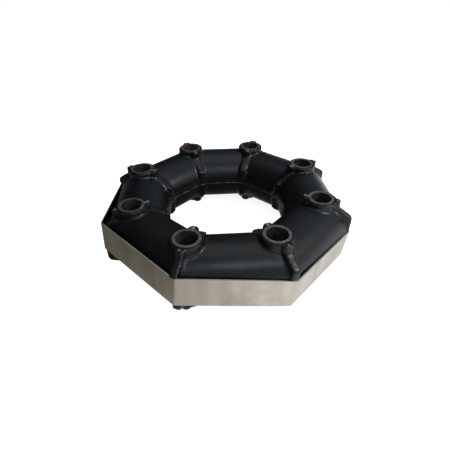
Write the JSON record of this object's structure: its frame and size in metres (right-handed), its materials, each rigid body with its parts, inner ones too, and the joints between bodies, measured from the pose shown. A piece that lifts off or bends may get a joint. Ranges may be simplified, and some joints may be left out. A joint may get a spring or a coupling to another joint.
{
  "type": "flexible rubber coupling element",
  "caption": "Octagonal rubber shaft coupling ring with steel bolt sleeves moulded in and a thin steel band round its flats.",
  "frame": {"origin": "on the shaft axis in the plane of the lower sleeve ends", "axes": "+Z along the shaft; the flats of the octagon face +-X and +-Y and the diagonals, with the high side of the band towards -X"},
  "size_m": [0.2687, 0.2664, 0.077],
  "materials": {
    "rubber": "satin moulded rubber, black",
    "band_steel": "bright rolled steel strip, lightly handled",
    "sleeve_steel": "bare machined steel"
  },
  "bodies": {
    "root": {"rubber_body": "rubber", "retaining_band": "band_steel", "sleeve_1": "sleeve_steel", "sleeve_2": "sleeve_steel", "sleeve_3": "sleeve_steel", "sleeve_4": "sleeve_steel", "sleeve_5": "sleeve_steel", "sleeve_6": "sleeve_steel", "sleeve_7": "sleeve_steel", "sleeve_8": "sleeve_steel"}
  },
  "joints": []
}
